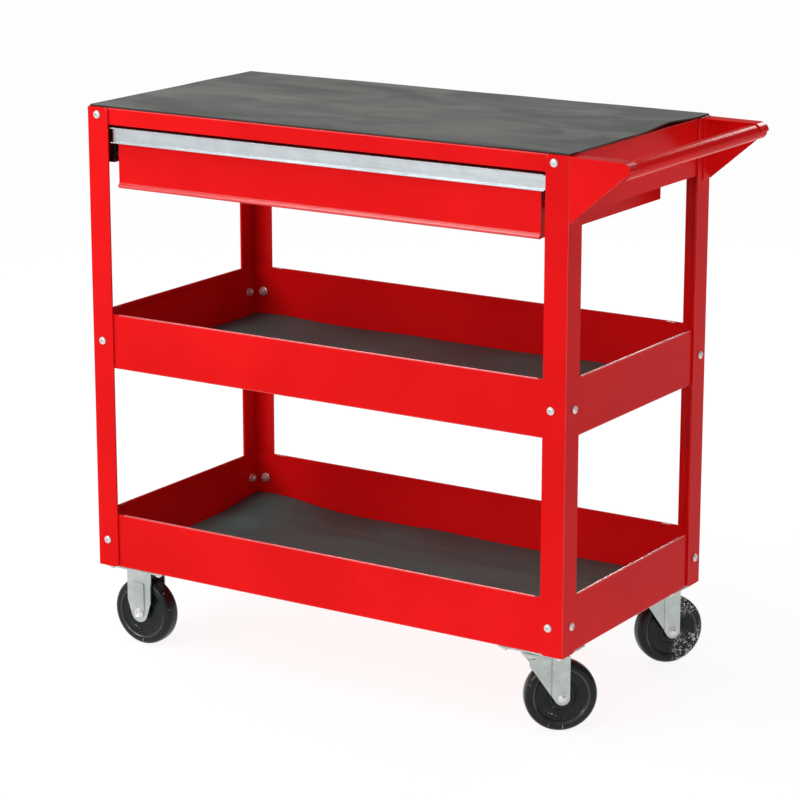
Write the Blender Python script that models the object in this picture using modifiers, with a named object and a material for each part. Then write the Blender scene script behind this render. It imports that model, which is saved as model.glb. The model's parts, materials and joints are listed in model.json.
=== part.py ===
"""Open three-shelf rolling tool cart with one drawer, a push handle and four casters.

Dimensions are millimetres; the helpers turn them into metres.  +X is the handle end, -Y is the
drawer side, +Z is up.  The origin lies on the floor under the middle of the cart's bounding box.
"""
import math

import bmesh
import bpy
from mathutils import Matrix, Vector

MM = 0.001
GAP = 0.3                      # left between pieces that touch

# Frame
WIDTH = 820.0                  # over the posts, along X
DEPTH = 420.0                  # over the posts, along Y
POST_LENGTH = 711.0
FLANGE = 37.0
POST_SHEET = 1.5
HEM_WIDTH = 8.0
SHEET = 1.5
FOLD = 1.8                     # outer radius of a fold
CASTER_HEIGHT = 129.0

# Trays and top
TRAY_HEIGHT = 84.0
MIDDLE_TRAY_RISE = 314.0       # above the bottom tray
TRAY_HEM_STOP = 25.0           # the hem ends this far short of a post
TOP_SKIRT = 84.0
FRONT_RAIL = 25.0
RAIL_LIP = 12.0
MAT_THICKNESS = 2.6

# Drawer and slides
DRAWER_WIDTH = 722.0
DRAWER_LENGTH = 350.0
DRAWER_FACE_SETBACK = 10.0
DRAWER_TOP = -31.0             # from the top of the posts
DRAWER_BOTTOM = -119.0
PULL_LENGTH = 739.0
PULL_TOP = -29.0
PULL_HEIGHT = 23.0
PULL_DEPTH = 8.0
SLIDE_WIDTH = 12.7
SLIDE_HEIGHT = 45.0
SLIDE_LENGTH = 350.0
SLIDE_SHEET = 1.4
SLIDE_CENTRE = -49.0           # from the top of the posts

# Push handle, measured from the handle end's outer face and the top of the posts
BAR_REACH = 79.2
BAR_DROP = 15.0
BAR_RADIUS = 11.5
BAR_SHEET = 1.5
BRACKET_SHEET = 1.5
BRACKET_FLANGE = 24.0
BRACKET_FOOT = 91.5

# Casters, measured from the underside of the bottom tray
WHEEL_RADIUS = 53.0
WHEEL_HALF = 14.0
TREAD_EDGE = (52.0, 12.8)      # radius and half width at the tread's rounded edge
HUB_HALF = 16.0
AXLE_DROP = CASTER_HEIGHT - WHEEL_RADIUS
AXLE_RADIUS = 5.0
BORE_CLEARANCE = 0.4
PLATE_SIZE = (108.0, 74.0)
PLATE_THICKNESS = 2.5
CASTER_INSET = (58.0, 42.0)    # plate centre from the posts' outer faces
LEG_INSIDE = 17.0
LEG_SHEET = 2.5
TRAIL = 28.0
RACE_RADIUS = 31.0
PIN_RADIUS = 6.0
SWIVEL_REST = {"front": 40.0, "rear": 52.0}   # degrees from +X that each swivel caster trails

# Frame bolts
# Bolt to corner, by which way the post stands along X and Y
BOLT_INSET_LONG = {(-1, -1): 18.5, (-1, 1): 22.5, (1, -1): 23.5, (1, 1): 23.5}
BOLT_INSET_END = {(-1, -1): 23.5, (-1, 1): 21.5, (1, -1): 23.5, (1, 1): 17.5}
BOLT_RADIUS = 3.0
BOLT_HEAD_RADIUS = 6.0
BOLT_HEAD_HEIGHT = 3.3
NUT_RADIUS = 7.0
TOP_BOLT_DROP = 11.0

# Places that follow from the above
HALF_X = WIDTH / 2
HALF_Y = DEPTH / 2
BASE_Z = CASTER_HEIGHT
TOP_Z = BASE_Z + POST_LENGTH
SKIN = 2 * POST_SHEET + GAP    # posts' outer face to the trays' outer face
TRAY_X = HALF_X - SKIN
TRAY_Y = HALF_Y - SKIN
HANDLE_REACH = BAR_REACH + BAR_RADIUS + GAP + BRACKET_SHEET
HEAD_PROUD = GAP + BOLT_HEAD_HEIGHT
REAR_TRAIL = math.radians(SWIVEL_REST["rear"])
REAR_WHEEL_Y = (HALF_Y - CASTER_INSET[1] + (TRAIL + TREAD_EDGE[0]) * math.sin(REAR_TRAIL)
                + TREAD_EDGE[1] * math.cos(REAR_TRAIL))
CART_X = (HALF_X + HEAD_PROUD - HALF_X - HANDLE_REACH) / 2
CART_Y = (HALF_Y + HEAD_PROUD - REAR_WHEEL_Y) / 2
CART = Vector((CART_X, CART_Y, 0.0))

# Colours
RED = (0.80, 0.010, 0.014)
ZINC = (0.62, 0.65, 0.63)
ALUMINIUM = (0.78, 0.80, 0.82)
RUBBER = (0.055, 0.055, 0.050)
WHEEL_BLACK = (0.016, 0.017, 0.018)
SLIDE_STEEL = (0.22, 0.22, 0.23)


# ---------------------------------------------------------------- helpers

def clear_scene():
    for obj in list(bpy.data.objects):
        bpy.data.objects.remove(obj, do_unlink=True)


def collection(name, hidden=False):
    made = bpy.data.collections.new(name)
    bpy.context.scene.collection.children.link(made)
    made.hide_render = hidden
    return made


def material(name, colour, roughness, metallic):
    made = bpy.data.materials.new(name)
    made.use_nodes = True
    shader = made.node_tree.nodes["Principled BSDF"]
    shader.inputs["Base Color"].default_value = (*colour, 1.0)
    shader.inputs["Roughness"].default_value = roughness
    shader.inputs["Metallic"].default_value = metallic
    return made


def add_object(name, mesh, place=None, group=None):
    obj = bpy.data.objects.new(name, mesh)
    (group or PARTS).objects.link(obj)
    if place is not None:
        obj.matrix_world = place
    return obj


def at(x, y, z, turn=None):
    """World matrix of a place given in the cart's own coordinates."""
    matrix = Matrix.Translation((Vector((x, y, z)) + CART) * MM)
    return matrix @ turn if turn is not None else matrix


def turned(axis, degrees):
    return Matrix.Rotation(math.radians(degrees), 4, axis)


def box_mesh(name, low, high):
    """A box between two corners, in millimetres from the object's origin."""
    mesh = bpy.data.meshes.new(name)
    bm = bmesh.new()
    bmesh.ops.create_cube(bm, size=1.0)
    low, high = Vector(low), Vector(high)
    bmesh.ops.scale(bm, vec=(high - low) * MM, verts=bm.verts)
    bmesh.ops.translate(bm, vec=(low + high) / 2 * MM, verts=bm.verts)
    bm.to_mesh(mesh)
    bm.free()
    return mesh


def arc(centre, radius, start, end, steps):
    """Points of an arc, in degrees."""
    angles = [math.radians(start + (end - start) * i / steps) for i in range(steps + 1)]
    return [(centre[0] + radius * math.cos(a), centre[1] + radius * math.sin(a)) for a in angles]


def rounded_rectangle(size, radius, steps=3):
    points = []
    corners = ((1, 1, 0), (-1, 1, 90), (-1, -1, 180), (1, -1, 270))
    for sign_x, sign_y, start in corners:
        centre = (sign_x * (size[0] / 2 - radius), sign_y * (size[1] / 2 - radius))
        points += arc(centre, radius, start, start + 90, steps)
    return points


def weld(mesh):
    """Join a converted curve's loose caps to its sides."""
    bm = bmesh.new()
    bm.from_mesh(mesh)
    bmesh.ops.remove_doubles(bm, verts=bm.verts, dist=0.00001)
    bmesh.ops.recalc_face_normals(bm, faces=bm.faces)
    bm.to_mesh(mesh)
    bm.free()


def evaluated_mesh(obj):
    graph = bpy.context.evaluated_depsgraph_get()
    return bpy.data.meshes.new_from_object(obj.evaluated_get(graph))


def rounded(mesh, radius, chosen, segments=2):
    """Round the edges whose two ends, in millimetres, are chosen."""
    bm = bmesh.new()
    bm.from_mesh(mesh)
    edges = [edge for edge in bm.edges if chosen(*(vert.co / MM for vert in edge.verts))]
    bmesh.ops.bevel(bm, geom=edges, offset=radius * MM, segments=segments, profile=0.5,
                    affect="EDGES", clamp_overlap=False)
    bm.to_mesh(mesh)
    bm.free()
    return mesh


def upright_edge(a, b):
    return abs(a.z - b.z) > 1.0


def prism_mesh(name, outline, thickness, turn=None, start=0.0):
    """A flat outline in the local XY plane, thick along Z from start; turn is applied after."""
    curve = bpy.data.curves.new(name, "CURVE")
    curve.dimensions = "2D"
    curve.fill_mode = "BOTH"
    curve.extrude = thickness / 2 * MM
    spline = curve.splines.new("POLY")
    spline.points.add(len(outline) - 1)
    for point, (x, y) in zip(spline.points, outline):
        point.co = (x * MM, y * MM, 0.0, 1.0)
    spline.use_cyclic_u = True
    guide = add_object(name + "_outline", curve, group=CUTTERS)
    mesh = evaluated_mesh(guide)
    bpy.data.objects.remove(guide, do_unlink=True)
    bpy.data.curves.remove(curve)
    mesh.name = name
    weld(mesh)
    mesh.transform(Matrix.Translation((0, 0, (start + thickness / 2) * MM)))
    if turn is not None:
        mesh.transform(turn)
    return mesh


def lathe_mesh(name, profile, steps):
    """A profile of (radius, height) turned about Z; it runs from the top down the outer side."""
    mesh = bpy.data.meshes.new(name + "_profile")
    bm = bmesh.new()
    verts = [bm.verts.new((radius * MM, 0.0, height * MM)) for radius, height in profile]
    for upper, lower in zip(verts, verts[1:]):
        bm.edges.new((upper, lower))
    if profile[0][0] > 0:
        bm.edges.new((verts[-1], verts[0]))
    bm.to_mesh(mesh)
    bm.free()
    guide = add_object(name + "_guide", mesh, group=CUTTERS)
    screw = guide.modifiers.new("Screw", "SCREW")
    screw.steps = steps
    screw.render_steps = steps
    screw.use_merge_vertices = True
    screw.merge_threshold = 0.00001
    turned_mesh = evaluated_mesh(guide)
    bpy.data.objects.remove(guide, do_unlink=True)
    turned_mesh.name = name
    weld(turned_mesh)
    return turned_mesh


def combined(name, first, others, operation):
    """First mesh united with, cut by or limited to each of the others."""
    base = add_object(name + "_base", first, group=CUTTERS)
    tools = []
    for index, mesh in enumerate(others):
        tool = add_object(f"{name}_tool_{index}", mesh, group=CUTTERS)
        boolean = base.modifiers.new(f"Boolean {index}", "BOOLEAN")
        boolean.operation = operation
        boolean.object = tool
        tools.append(tool)
    bpy.context.view_layer.update()
    result = evaluated_mesh(base)
    for obj in [base, *tools]:
        bpy.data.objects.remove(obj, do_unlink=True)
    result.name = name
    return result


def moved(mesh, x=0.0, y=0.0, z=0.0, turn=None):
    if turn is not None:
        mesh.transform(turn)
    mesh.transform(Matrix.Translation(Vector((x, y, z)) * MM))
    return mesh


def finish(obj, surface, smooth=False):
    obj.data.materials.clear()
    obj.data.materials.append(surface)
    if smooth:
        obj.data.shade_smooth()
        obj.data.set_sharp_from_angle(angle=math.radians(35))
    return obj


def part(name, mesh, surface, place, smooth=False):
    return finish(add_object(name, mesh, place), surface, smooth)


# ---------------------------------------------------------------- frame bolts

def bolt_places():
    """Name, place and outward turn of each frame bolt, in cart coordinates."""
    outward_y = {-1: turned("X", 90), 1: turned("X", -90)}
    outward_x = {-1: turned("Y", -90), 1: turned("Y", 90)}
    heights = (("bottom", BASE_Z + TRAY_HEIGHT / 2),
               ("middle", BASE_Z + MIDDLE_TRAY_RISE + TRAY_HEIGHT / 2),
               ("top", TOP_Z - TOP_BOLT_DROP))
    places = []
    for corner, sign_x, sign_y in CORNERS:
        for level, z in heights:
            spot = (sign_x * (HALF_X - BOLT_INSET_LONG[sign_x, sign_y]), sign_y * HALF_Y, z)
            places.append((f"bolt_{corner}_{level}_long", spot, outward_y[sign_y]))
            if level != "top":
                spot = (sign_x * HALF_X, sign_y * (HALF_Y - BOLT_INSET_END[sign_x, sign_y]), z)
                places.append((f"bolt_{corner}_{level}_end", spot, outward_x[sign_x]))
    return places


def bolt_mesh():
    """Pan-head screw with its hex nut run up; the head's outer end is +Z, the post's face is 0."""
    steps = 10
    nut_face = -(SKIN + SHEET + GAP)
    nut_height = 5.0
    end = nut_face - nut_height - 1.5
    profile = [(0.0, HEAD_PROUD), (BOLT_HEAD_RADIUS * 0.62, HEAD_PROUD - 0.5),
               (BOLT_HEAD_RADIUS, GAP + 1.0), (BOLT_HEAD_RADIUS, GAP),
               (BOLT_RADIUS, GAP), (BOLT_RADIUS, end), (0.0, end)]
    screw = lathe_mesh("bolt", profile, steps)
    hexagon = arc((0, 0), NUT_RADIUS, 0, 300, 5)
    nut = prism_mesh("nut", hexagon, nut_height, start=nut_face - nut_height)
    return combined("bolt_and_nut", screw, [nut], "UNION")


def bolt_hole_cutter(places):
    """Every frame bolt's clearance hole in one mesh."""
    joined = bmesh.new()
    for _, spot, turn in places:
        matrix = Matrix.Translation(Vector(spot) * MM) @ turn
        bmesh.ops.create_cone(joined, cap_ends=True, segments=8, radius1=(BOLT_RADIUS + 0.7) * MM,
                              radius2=(BOLT_RADIUS + 0.7) * MM, depth=14 * MM, matrix=matrix)
    mesh = bpy.data.meshes.new("bolt_holes")
    joined.to_mesh(mesh)
    joined.free()
    return mesh


def with_bolt_holes(name, mesh):
    """Cut the bolts' holes in a mesh that is given in cart coordinates."""
    return combined(name, mesh, [BOLT_HOLES.copy()], "DIFFERENCE")


# ---------------------------------------------------------------- frame

def post_mesh(name, sign_x, sign_y):
    """Angle post with hemmed free edges, in cart coordinates."""
    hem = FLANGE - HEM_WIDTH
    thin, thick = POST_SHEET, 2 * POST_SHEET
    outline = arc((FOLD, FOLD), FOLD, 180, 270, 3) + [(FLANGE, 0), (FLANGE, thick), (hem, thick), (hem, thin), (thin, thin),
               (thin, hem), (thick, hem), (thick, FLANGE), (0, FLANGE)]
    outline = [(sign_x * (HALF_X - x), sign_y * (HALF_Y - y)) for x, y in outline]
    mesh = prism_mesh(name, outline, POST_LENGTH, start=BASE_Z)

    def flange_end(a, b):
        across_x = min(HALF_X - abs(a.x), HALF_X - abs(b.x)) > FLANGE - 0.01
        across_y = min(HALF_Y - abs(a.y), HALF_Y - abs(b.y)) > FLANGE - 0.01
        return abs(a.z - b.z) < 0.01 and (across_x or across_y)

    return with_bolt_holes(name, rounded(mesh, 6.0, flange_end, 3))


def tray_mesh(name, floor_z):
    """Folded tray: floor, four walls and a hem along each wall's top, short of the posts."""
    top = floor_z + TRAY_HEIGHT
    outer = box_mesh(name, (-TRAY_X, -TRAY_Y, floor_z), (TRAY_X, TRAY_Y, top))
    outer = rounded(outer, FOLD, lambda a, b: upright_edge(a, b) or a.z + b.z < 2 * floor_z + 1)
    hollow = box_mesh(name, (SHEET - TRAY_X, SHEET - TRAY_Y, floor_z + SHEET),
                      (TRAY_X - SHEET, TRAY_Y - SHEET, top + 5))
    shell = combined(name, outer, [hollow], "DIFFERENCE")
    long_end = HALF_X - FLANGE - TRAY_HEM_STOP
    short_end = HALF_Y - FLANGE - TRAY_HEM_STOP
    near, far = 0.7, 3.2
    hem_low, hem_high = top - 7.0, top + 0.4
    hems = []
    for sign in (-1, 1):
        edges = sorted((sign * (TRAY_Y - near), sign * (TRAY_Y - far)))
        hems.append(box_mesh(name, (-long_end, edges[0], hem_low), (long_end, edges[1], hem_high)))
        edges = sorted((sign * (TRAY_X - near), sign * (TRAY_X - far)))
        hems.append(box_mesh(name, (edges[0], -short_end, hem_low), (edges[1], short_end, hem_high)))
    return with_bolt_holes(name, combined(name, shell, hems, "UNION"))


def top_mesh(name):
    """Flat top with a shallow front rail, its return lip, and deep end and back skirts."""
    inner_x, inner_y = TRAY_X - SHEET, TRAY_Y - SHEET
    outer = box_mesh(name, (-TRAY_X, -TRAY_Y, TOP_Z - TOP_SKIRT), (TRAY_X, TRAY_Y, TOP_Z))
    outer = rounded(outer, FOLD, lambda a, b: upright_edge(a, b) or a.z + b.z > 2 * TOP_Z - 1)
    rail_bottom = TOP_Z - FRONT_RAIL
    behind_rail = box_mesh(name, (-inner_x, -inner_y, rail_bottom + SHEET),
                           (inner_x, inner_y, TOP_Z - SHEET))
    behind_lip = box_mesh(name, (-inner_x, RAIL_LIP - TRAY_Y, rail_bottom - 1),
                          (inner_x, inner_y, rail_bottom + SHEET + 1))
    drawer_bay = box_mesh(name, (-inner_x, -HALF_Y - 5, TOP_Z - TOP_SKIRT - 5),
                          (inner_x, inner_y, rail_bottom))
    shell = combined(name, outer, [behind_rail, behind_lip, drawer_bay], "DIFFERENCE")
    return with_bolt_holes(name, shell)


def build_frame():
    for corner, sign_x, sign_y in CORNERS:
        name = f"post_{corner}"
        part(name, post_mesh(name, sign_x, sign_y), PAINT, at(0, 0, 0))
    part("top_panel", top_mesh("top_panel"), PAINT, at(0, 0, 0))
    middle_z = BASE_Z + MIDDLE_TRAY_RISE
    part("middle_tray", tray_mesh("middle_tray", middle_z), PAINT, at(0, 0, 0))
    part("bottom_tray", tray_mesh("bottom_tray", BASE_Z), PAINT, at(0, 0, 0))
    shared_bolt = bolt_mesh()
    for name, spot, turn in bolt_places():
        part(name, shared_bolt, STEEL, at(*spot, turn))


def build_mats():
    """Loose rubber mats: one on the top, one on each tray's floor."""
    half_x, half_y = HALF_X - 2.0, HALF_Y - 4.0
    mesh = box_mesh("top_mat", (-half_x, -half_y, 0), (half_x, half_y, MAT_THICKNESS))
    part("top_mat", mesh, MAT, at(0, 0, TOP_Z + GAP))
    half_x, half_y = TRAY_X - SHEET - 4.0, TRAY_Y - SHEET - 4.0
    for name, floor_z in (("middle_mat", BASE_Z + MIDDLE_TRAY_RISE), ("bottom_mat", BASE_Z)):
        mesh = box_mesh(name, (-half_x, -half_y, 0), (half_x, half_y, MAT_THICKNESS))
        part(name, mesh, MAT, at(0, 0, floor_z + SHEET + GAP))


# ---------------------------------------------------------------- push handle

def bracket_mesh(name):
    """Triangular bracket with a flange on top, round the nose and against the post.

    Local X runs out from the post's face, local Y runs in along the cart, local Z is up from
    the top of the posts.
    """
    nose = (BAR_REACH, -BAR_DROP)
    outer_radius = BAR_RADIUS + GAP + BRACKET_SHEET
    outline = [(GAP, -BRACKET_FOOT), (GAP, -1.0)] + arc(nose, outer_radius, 90, 5, 8)
    inner_radius = BAR_RADIUS + GAP
    post_side = GAP + BRACKET_SHEET
    cavity = ([(post_side, -BRACKET_FOOT - 20), (post_side, -1.0 - BRACKET_SHEET)]
              + arc(nose, inner_radius, 90, 5, 8)
              + [(nose[0] + outer_radius + 8, -BAR_DROP - 8)])
    upright = turned("X", 90)
    body = prism_mesh(name, outline, BRACKET_FLANGE, upright, start=-BRACKET_FLANGE)
    slope = (-BRACKET_FOOT + 0.5, nose[0] + outer_radius - 0.5)

    def folded(a, b):
        open_edge = min(a.z, b.z) < slope[0] and max(a.x, b.x) > slope[1]
        return abs(a.y) < 0.01 and abs(b.y) < 0.01 and not open_edge

    body = rounded(body, FOLD - 0.4, folded)
    hollow = prism_mesh(name, cavity, BRACKET_FLANGE, upright, start=-BRACKET_FLANGE - BRACKET_SHEET)
    return combined(name, body, [hollow], "DIFFERENCE")


def mirrored_y(mesh):
    mesh.transform(Matrix.Diagonal((1.0, -1.0, 1.0, 1.0)))
    mesh.flip_normals()
    return mesh


def build_handle():
    part("handle_bracket_front", bracket_mesh("handle_bracket_front"), PAINT,
         at(HALF_X, -HALF_Y, TOP_Z))
    part("handle_bracket_rear", mirrored_y(bracket_mesh("handle_bracket_rear")), PAINT,
         at(HALF_X, HALF_Y, TOP_Z))
    slot_start, slot_end = 215.0, 292.0
    outside = arc((0, 0), BAR_RADIUS, slot_end - 360, slot_start, 24)
    inside = arc((0, 0), BAR_RADIUS - BAR_SHEET, slot_start, slot_end - 360, 24)
    length = DEPTH - 2 * (BRACKET_SHEET + GAP)
    bar = prism_mesh("handle_bar", outside + inside, length, turned("X", 90), start=-length / 2)
    part("handle_bar", bar, PAINT, at(HALF_X + BAR_REACH, 0, TOP_Z - BAR_DROP), smooth=True)


# ---------------------------------------------------------------- drawer and slides

def along_x(outline, length):
    """A (y, z) outline made long along X, centred."""
    turn = Matrix(((0, 0, 1, 0), (1, 0, 0, 0), (0, 1, 0, 0), (0, 0, 0, 1)))
    return prism_mesh("section", outline, length, turn, start=-length / 2)


def along_y(outline, length):
    """An (x, z) outline made long along Y, from 0 to length."""
    return prism_mesh("section", outline, length, turned("X", 90), start=-length)


def channel(web, tip, half_height, sheet):
    """C-shaped (x, z) outline: web at x = web, flanges reaching to x = tip."""
    inner = web + math.copysign(sheet, tip - web)
    return [(web, -half_height), (tip, -half_height), (tip, sheet - half_height),
            (inner, sheet - half_height), (inner, half_height - sheet), (tip, half_height - sheet),
            (tip, half_height), (web, half_height)]


def build_drawer():
    face_y = DRAWER_FACE_SETBACK - HALF_Y
    place = at(0, face_y, TOP_Z)
    half = DRAWER_WIDTH / 2
    wall = SHEET
    back = wall + GAP
    outer = box_mesh("drawer_box", (-half, back, DRAWER_BOTTOM), (half, DRAWER_LENGTH, DRAWER_TOP))
    hollow = box_mesh("drawer_box", (wall - half, back + wall, DRAWER_BOTTOM + wall),
                      (half - wall, DRAWER_LENGTH - wall, DRAWER_TOP + 5))
    part("drawer_box", combined("drawer_box", outer, [hollow], "DIFFERENCE"), PAINT, place)

    lip_radius = 4.5
    lip_centre = (0.0, DRAWER_BOTTOM + lip_radius - 1.0)
    lip = arc(lip_centre, lip_radius, 140, 270, 7)
    face = [(wall, PULL_TOP), (0, PULL_TOP), (0, DRAWER_BOTTOM + 12.0)] + lip
    face += [(wall, lip_centre[1] - lip_radius)]
    part("drawer_front", along_x(face, DRAWER_WIDTH), PAINT, place)

    low = PULL_TOP - PULL_HEIGHT
    sheet = 1.5
    plate = -GAP
    channel_face = plate - sheet
    lips = plate - PULL_DEPTH
    pull = [(plate, low), (plate, PULL_TOP), (lips, PULL_TOP), (lips, PULL_TOP - sheet),
            (channel_face, PULL_TOP - sheet), (channel_face, low + sheet), (lips, low + sheet),
            (lips, low)]
    part("drawer_pull", along_x(pull, PULL_LENGTH), BRIGHT, place)


def build_slides():
    inner_web = DRAWER_WIDTH / 2 + GAP
    outer_web = inner_web + SLIDE_WIDTH
    sections = (("outer", channel(outer_web, outer_web - 9.0, SLIDE_HEIGHT / 2, SLIDE_SHEET),
                 SLIDE_LENGTH),
                ("middle", channel(outer_web - 2.4, inner_web + 2.4, SLIDE_HEIGHT / 2 - 2.0,
                                   SLIDE_SHEET), SLIDE_LENGTH - 20.0),
                ("inner", channel(inner_web, inner_web + 6.5, SLIDE_HEIGHT / 2 - 4.2, SLIDE_SHEET),
                 SLIDE_LENGTH - 8.0))
    start = DRAWER_FACE_SETBACK + 5.0 - HALF_Y
    support_web = outer_web + GAP
    support_tip = TRAY_X - SHEET - GAP
    support_top = SLIDE_CENTRE + SLIDE_HEIGHT / 2 - 1.0
    support_low = 0.5 - TOP_SKIRT
    support = channel(support_web, support_tip, (support_top - support_low) / 2, SHEET)
    support_length = 2 * (HALF_Y - 16.0)
    for side, sign in (("left", -1), ("right", 1)):
        for name, outline, length in sections:
            mesh = along_y([(sign * x, z) for x, z in outline], length)
            part(f"slide_{name}_{side}", mesh, SLIDE, at(0, start, TOP_Z + SLIDE_CENTRE))
        mesh = along_y([(sign * x, z) for x, z in support], support_length)
        part(f"slide_support_{side}", mesh, SLIDE,
             at(0, -support_length / 2, TOP_Z + (support_top + support_low) / 2))


# ---------------------------------------------------------------- casters

def wheel_mesh():
    """Solid wheel about local Z with a stepped face and a plain bore."""
    bore = AXLE_RADIUS + BORE_CLEARANCE
    side = [(bore, HUB_HALF), (12.0, HUB_HALF), (13.5, HUB_HALF - 5.0), (34.0, HUB_HALF - 5.5),
            (38.5, WHEEL_HALF), (WHEEL_RADIUS - 4.0, WHEEL_HALF),
            TREAD_EDGE, (WHEEL_RADIUS, WHEEL_HALF - 4.0)]
    return lathe_mesh("wheel", side + [(r, -z) for r, z in reversed(side)], 28)


def axle_mesh():
    """Axle bolt with a domed head at +Z and its nut run up at -Z."""
    face = LEG_INSIDE + LEG_SHEET + GAP
    head, nut = 7.0, 7.5
    profile = [(0.0, face + 4.0), (head * 0.6, face + 3.2), (head, face + 1.2), (head, face),
               (AXLE_RADIUS, face), (AXLE_RADIUS, -face), (nut, -face), (nut, -face - 5.0),
               (AXLE_RADIUS - 1.0, -face - 5.0), (AXLE_RADIUS - 1.0, -face - 7.0),
               (0.0, -face - 7.0)]
    return lathe_mesh("axle", profile, 12)


def axle_hole(distance):
    """Cutter along Y for the axle, at a distance along X from the caster's centre."""
    mesh = bpy.data.meshes.new("axle_hole")
    bm = bmesh.new()
    matrix = Matrix.Translation(Vector((distance, 0, -AXLE_DROP)) * MM) @ turned("X", 90)
    radius = (AXLE_RADIUS + BORE_CLEARANCE) * MM
    bmesh.ops.create_cone(bm, cap_ends=True, segments=16, radius1=radius, radius2=radius,
                          depth=80 * MM, matrix=matrix)
    bm.to_mesh(mesh)
    bm.free()
    return mesh


def plate_mesh(name):
    return prism_mesh(name, rounded_rectangle(PLATE_SIZE, 9.0), PLATE_THICKNESS,
                      start=-GAP - PLATE_THICKNESS)


def rigid_bracket_mesh(name):
    """Fixed caster bracket: mounting plate and two straight legs with rounded tips."""
    half_width, tip, straight = 22.0, 15.0, 57.0
    axle = (0.0, -AXLE_DROP)
    outline = ([(half_width, -GAP - PLATE_THICKNESS / 2), (-half_width, -GAP - PLATE_THICKNESS / 2),
                (-half_width, -straight)] + arc(axle, tip, 198.1, 341.9, 9) + [(half_width, -straight)])
    legs = []
    for start in (LEG_INSIDE, -LEG_INSIDE - LEG_SHEET):
        leg = prism_mesh(name, outline, LEG_SHEET, start=start)
        legs.append(moved(leg, turn=turned("X", 90)))
    body = combined(name, plate_mesh(name), legs, "UNION")
    return combined(name, body, [axle_hole(0.0)], "DIFFERENCE")


def fork_mesh(name):
    """Swivel fork: turned crown, a bridge and two legs bent out towards the crown.

    Local X is the way the caster trails; the origin is on the swivel axis.
    """
    crown_top, crown_low = -5.0, -18.0
    pin_hole = PIN_RADIUS + BORE_CLEARANCE
    crown = lathe_mesh(name, [(pin_hole, crown_top), (RACE_RADIUS - 1.0, crown_top),
                              (RACE_RADIUS, crown_top - 2.0), (RACE_RADIUS - 2.5, crown_top - 8.0),
                              (RACE_RADIUS - 9.0, crown_low), (pin_hole, crown_low)], 28)
    rear = TRAIL + 11.0
    front_low, front_high = (-15.0, -32.0), (-21.0, -23.0)
    outline = ([(rear, -14.0), (-21.0, -14.0), front_high, front_low]
               + arc((TRAIL, -AXLE_DROP), 11.0, 214.6, 360, 9))
    across = 2 * (RACE_RADIUS + 5.0)
    side_view = moved(prism_mesh(name, outline, across, start=-across / 2), turn=turned("X", 90))
    inside, outside = LEG_INSIDE, LEG_INSIDE + LEG_SHEET
    bend, nose = 14.0, -26.0
    flare = [(bend + (nose - bend) * share, 7.0 * share ** 1.5) for share in (0, 0.25, 0.5, 0.75, 1)]
    plan = [(rear + 2, inside)] + [(x, inside + out) for x, out in flare]
    plan += [(x, outside + out) for x, out in reversed(flare)] + [(rear + 2, outside)]
    legs = []
    for sign in (1, -1):
        strip = prism_mesh(name, [(x, sign * y) for x, y in plan], 90.0, start=-95.0)
        legs.append(combined(name, strip, [side_view.copy()], "INTERSECT"))
    bridge = box_mesh(name, (-18.0, -LEG_INSIDE - 1.0, -17.3), (rear - 0.6, LEG_INSIDE + 1.0, -14.8))
    body = combined(name, crown, [bridge, *legs], "UNION")
    pin_cut = lathe_mesh(name, [(0.0, 0.0), (pin_hole, 0.0), (pin_hole, -30.0), (0.0, -30.0)], 28)
    return combined(name, body, [axle_hole(TRAIL), pin_cut], "DIFFERENCE")


def swivel_plate_mesh(name):
    """Mounting plate with the pressed upper ball race under it and a hole for the king pin."""
    low = -GAP - PLATE_THICKNESS
    race = lathe_mesh(name, [(15.0, low + 1.0), (RACE_RADIUS - 6.0, low + 1.0),
                             (RACE_RADIUS - 6.0, low), (RACE_RADIUS - 8.0, low - 1.9),
                             (17.0, low - 1.9), (15.0, low)], 24)
    hole = lathe_mesh(name, [(0.0, 5.0), (PIN_RADIUS + BORE_CLEARANCE, 5.0),
                             (PIN_RADIUS + BORE_CLEARANCE, -10.0), (0.0, -10.0)], 16)
    body = combined(name, plate_mesh(name), [race], "UNION")
    return combined(name, body, [hole], "DIFFERENCE")


def king_pin_mesh():
    head_top = -18.0 - GAP
    return lathe_mesh("king_pin", [(0.0, -0.6), (PIN_RADIUS, -0.6), (PIN_RADIUS, head_top),
                                   (9.0, head_top), (8.4, head_top - 2.0), (5.0, head_top - 3.3),
                                   (0.0, head_top - 3.6)], 14)


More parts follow.
